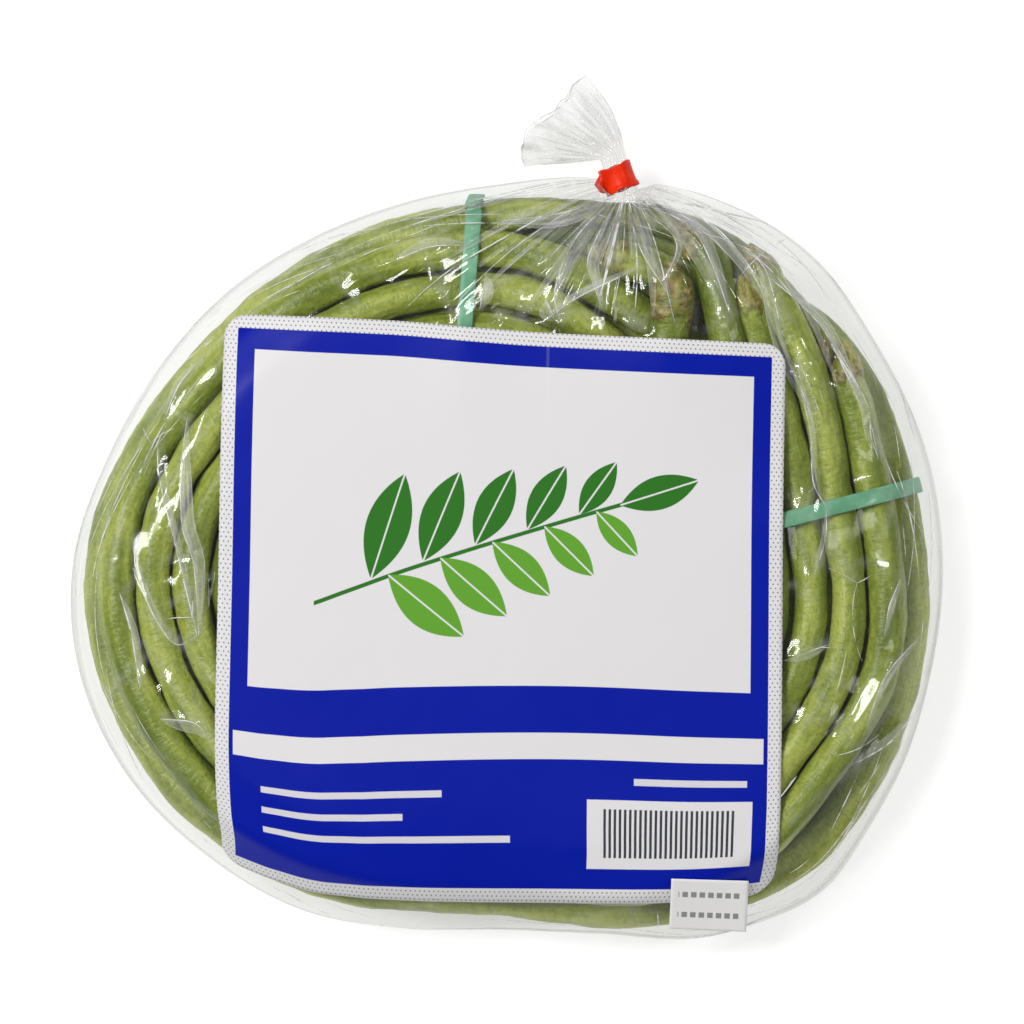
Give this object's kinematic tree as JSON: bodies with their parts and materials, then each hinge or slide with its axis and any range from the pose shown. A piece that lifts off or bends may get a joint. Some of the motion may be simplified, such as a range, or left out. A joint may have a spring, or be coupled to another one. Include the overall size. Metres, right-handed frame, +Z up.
{
  "type": "yardlong bean bunch",
  "caption": "Coil of long green bean pods held by rubber bands, in a clear bag tied off with tape, with a paper label and a small sticker on its face.",
  "frame": {"origin": "middle of the underside of the pack's box, on the surface that the pack lies on", "axes": "+Z up out of the label, +Y from the coil towards the tied neck of the bag, +X to the right of the label"},
  "size_m": [0.2394, 0.2412, 0.0443],
  "materials": {
    "bean_skin": "satin plant skin",
    "band_rubber": "matt",
    "clear_film": "clear glossy film",
    "red_tape": "glossy",
    "label_paper": "printed, slight sheen",
    "sticker_paper": "matt"
  },
  "bodies": {
    "root": {"bean_01": "bean_skin", "bean_02": "bean_skin", "bean_03": "bean_skin", "bean_04": "bean_skin", "bean_05": "bean_skin", "bean_06": "bean_skin", "bean_07": "bean_skin", "bean_08": "bean_skin", "bean_09": "bean_skin", "bean_10": "bean_skin", "bean_11": "bean_skin", "bean_12": "bean_skin", "bean_13": "bean_skin", "bean_14": "bean_skin", "band_top": "band_rubber", "band_right": "band_rubber", "bag": "clear_film", "neck_tape": "red_tape", "label": "label_paper", "date_sticker": "sticker_paper"}
  },
  "joints": []
}
